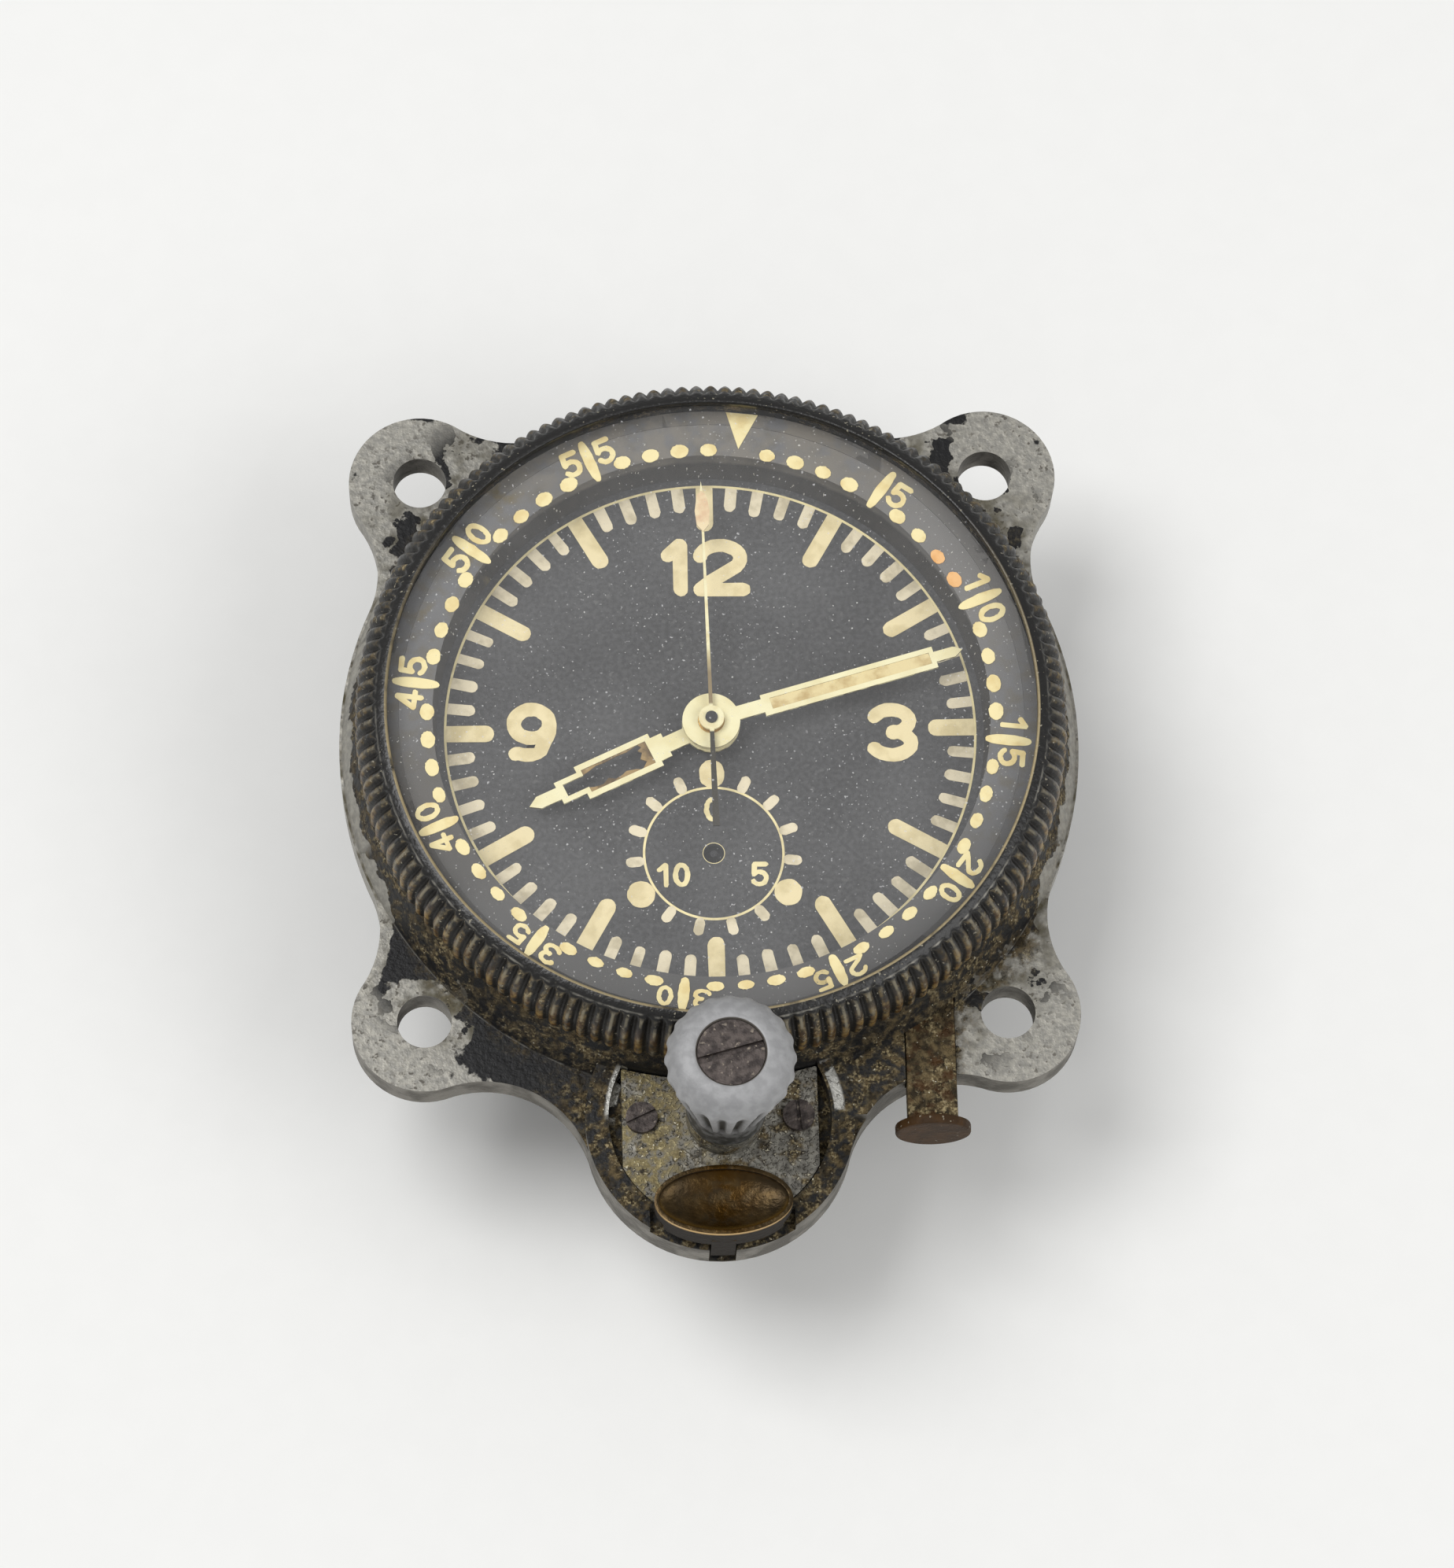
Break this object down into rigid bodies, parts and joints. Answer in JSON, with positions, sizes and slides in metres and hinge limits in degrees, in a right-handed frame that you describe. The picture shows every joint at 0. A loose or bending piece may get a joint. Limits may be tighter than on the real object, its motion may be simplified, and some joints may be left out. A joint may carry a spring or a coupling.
{
  "type": "aircraft panel clock",
  "caption": "Flange-mounted aircraft panel clock with a turning bezel, winding knob, push-pieces, centre sweep hand and a hand-wound movement.",
  "frame": {"origin": "on the dial's axis, at the middle of the four fixing holes, on the flange's back face", "axes": "+Z out through the dial, +Y towards the 12, +X towards the 3"},
  "size_m": [0.0618, 0.0749, 0.039],
  "materials": {
    "case_black_paint": "worn satin black lacquer on cast light alloy",
    "bezel_black_paint": "worn satin black lacquer on brass",
    "cover_grimed_alloy": "dull, grimed machined alloy",
    "knob_alloy": "soft satin turned alloy",
    "tarnished_steel": "brown tarnished screw heads",
    "thumb_patinated_brass": "dark patinated brass with worn edges",
    "button_brown_steel": "browned steel",
    "crystal_glass": "clear polished crystal",
    "dial_black": "matt black dial paint",
    "hand_cream_paint": "aged cream paint",
    "lume_paste": "aged luminous paste",
    "movement_brass": "grained brass",
    "movement_steel": "polished steel",
    "spring_steel": "blued spring steel",
    "jewel_ruby": "polished synthetic ruby"
  },
  "bodies": {
    "case": {"case_flange": "case_black_paint", "rear_case": "case_black_paint", "case_screws": "tarnished_steel", "cover_plate": "cover_grimed_alloy", "cover_screws": "tarnished_steel", "dial": "dial_black", "dial_ring": "dial_black", "dial_spacer": "movement_brass", "main_plate": "movement_brass", "movement_screws": "movement_steel", "plate_studs": "movement_steel", "pillars": "movement_brass", "back_plate": "movement_brass", "pillar_screws": "movement_steel", "jewels": "jewel_ruby", "hairspring": "spring_steel", "balance_cock": "movement_brass", "cock_pillar": "movement_brass", "sweep_bridge": "movement_brass", "sweep_bridge_screw": "movement_steel", "counter_bridge": "movement_brass", "thumb_spring": "spring_steel", "setting_spring": "spring_steel"},
    "bezel": {"bezel_ring": "bezel_black_paint", "bezel_cap": "bezel_black_paint", "bezel_wire": "spring_steel", "crystal": "crystal_glass", "crystal_ring": "bezel_black_paint"},
    "knob": {"crown": "knob_alloy", "crown_screw": "tarnished_steel", "winding_shaft": "movement_steel"},
    "winding": {"winding_wheel": "movement_brass"},
    "ratchet": {"ratchet_wheel": "movement_steel", "barrel_arbor": "movement_steel"},
    "click": {"click": "movement_steel"},
    "thumb_piece": {"thumb_plate": "thumb_patinated_brass"},
    "setting_piece": {"setting_button": "button_brown_steel", "setting_bar": "button_brown_steel"},
    "minute_train": {"centre_wheel": "movement_brass", "cannon_pinion": "movement_steel", "minute_hand": "hand_cream_paint", "minute_lume": "lume_paste"},
    "hour_train": {"hour_wheel": "movement_brass", "hour_hand": "hand_cream_paint"},
    "minute_work": {"minute_wheel": "movement_brass"},
    "barrel": {"barrel": "movement_brass", "barrel_cover": "movement_brass", "mainspring": "spring_steel"},
    "third": {"third_wheel": "movement_brass"},
    "fourth": {"fourth_wheel": "movement_brass"},
    "escape": {"escape_wheel": "movement_steel"},
    "pallet": {"pallet_fork": "movement_steel"},
    "balance": {"balance_wheel": "movement_brass"},
    "sweep": {"sweep_arbor": "movement_steel", "heart_cam": "movement_steel", "sweep_hand": "hand_cream_paint"},
    "transfer": {"transfer_wheel": "movement_brass"},
    "counter": {"counter_wheel": "movement_brass"}
  },
  "joints": [
    {"name": "bezel_turn", "type": "hinge", "parent": "case", "child": "bezel", "pos_m": [0, 0, 0], "axis": [0, 0, 1], "continuous": true},
    {"name": "knob_turn", "type": "hinge", "parent": "case", "child": "knob", "pos_m": [0.0004, -0.033, 0], "axis": [0, 0, 1], "continuous": true},
    {"name": "winding_wheel_turn", "type": "hinge", "parent": "case", "child": "winding", "pos_m": [-0.00377, -0.02191, 0], "axis": [0, 0, 1], "continuous": true},
    {"name": "ratchet_turn", "type": "hinge", "parent": "case", "child": "ratchet", "pos_m": [0.0004, -0.01049, 0], "axis": [0, 0, 1], "continuous": true},
    {"name": "click_lift", "type": "hinge", "parent": "case", "child": "click", "pos_m": [0.00753, -0.01548, 0], "axis": [0, 0, 1], "range_deg": [-6, 6], "stiffness_Nm_per_rad": 0.0002},
    {"name": "minute_turn", "type": "hinge", "parent": "case", "child": "minute_train", "pos_m": [0, 0, 0], "axis": [0, 0, 1], "continuous": true},
    {"name": "hour_turn", "type": "hinge", "parent": "case", "child": "hour_train", "pos_m": [0, 0, 0], "axis": [0, 0, 1], "continuous": true},
    {"name": "minute_wheel_turn", "type": "hinge", "parent": "case", "child": "minute_work", "pos_m": [0.0052, 0.003, 0], "axis": [0, 0, 1], "continuous": true},
    {"name": "barrel_turn", "type": "hinge", "parent": "case", "child": "barrel", "pos_m": [0.0004, -0.01049, 0], "axis": [0, 0, 1], "continuous": true},
    {"name": "third_turn", "type": "hinge", "parent": "case", "child": "third", "pos_m": [0.0036, 0.00624, 0], "axis": [0, 0, 1], "continuous": true},
    {"name": "fourth_turn", "type": "hinge", "parent": "case", "child": "fourth", "pos_m": [0.00054, 0.01154, 0], "axis": [0, 0, 1], "continuous": true},
    {"name": "escape_turn", "type": "hinge", "parent": "case", "child": "escape", "pos_m": [-0.00518, 0.01154, 0], "axis": [0, 0, 1], "continuous": true},
    {"name": "pallet_rock", "type": "hinge", "parent": "case", "child": "pallet", "pos_m": [-0.00729, 0.00847, 0], "axis": [0, 0, 1], "range_deg": [-4, 4]},
    {"name": "balance_swing", "type": "hinge", "parent": "case", "child": "balance", "pos_m": [-0.01158, 0.00225, 0], "axis": [0, 0, 1], "range_deg": [-135, 135], "stiffness_Nm_per_rad": 0.000002},
    {"name": "sweep_turn", "type": "hinge", "parent": "case", "child": "sweep", "pos_m": [0, 0, 0], "axis": [0, 0, 1], "continuous": true},
    {"name": "transfer_turn", "type": "hinge", "parent": "case", "child": "transfer", "pos_m": [0.00968, -0.00657, 0], "axis": [0, 0, 1], "continuous": true},
    {"name": "counter_turn", "type": "hinge", "parent": "case", "child": "counter", "pos_m": [0, -0.0108, 0], "axis": [0, 0, 1], "continuous": true},
    {"name": "thumb_push", "type": "slide", "parent": "case", "child": "thumb_piece", "axis": [0, 0, -1], "range_m": [0, 0.001], "stiffness_N_per_m": 400, "springref_m": -0.001, "deforming": ["thumb_spring"]},
    {"name": "setting_push", "type": "slide", "parent": "case", "child": "setting_piece", "axis": [0, 1, 0], "range_m": [0, 0.0015], "stiffness_N_per_m": 300, "springref_m": -0.001, "deforming": ["setting_spring"]}
  ],
  "couplings": [
    {"joint": "winding_wheel_turn", "follows": "knob_turn", "ratio": -0.43636},
    {"joint": "ratchet_turn", "follows": "knob_turn", "ratio": 0.92308},
    {"joint": "hour_turn", "follows": "minute_turn", "ratio": 0.083333},
    {"joint": "minute_wheel_turn", "follows": "minute_turn", "ratio": -0.33333},
    {"joint": "barrel_turn", "follows": "minute_turn", "ratio": -0.16667},
    {"joint": "third_turn", "follows": "minute_turn", "ratio": -8},
    {"joint": "fourth_turn", "follows": "minute_turn", "ratio": 60},
    {"joint": "escape_turn", "follows": "minute_turn", "ratio": -600},
    {"joint": "transfer_turn", "follows": "sweep_turn", "ratio": -0.2},
    {"joint": "counter_turn", "follows": "sweep_turn", "ratio": 0.066667}
  ]
}
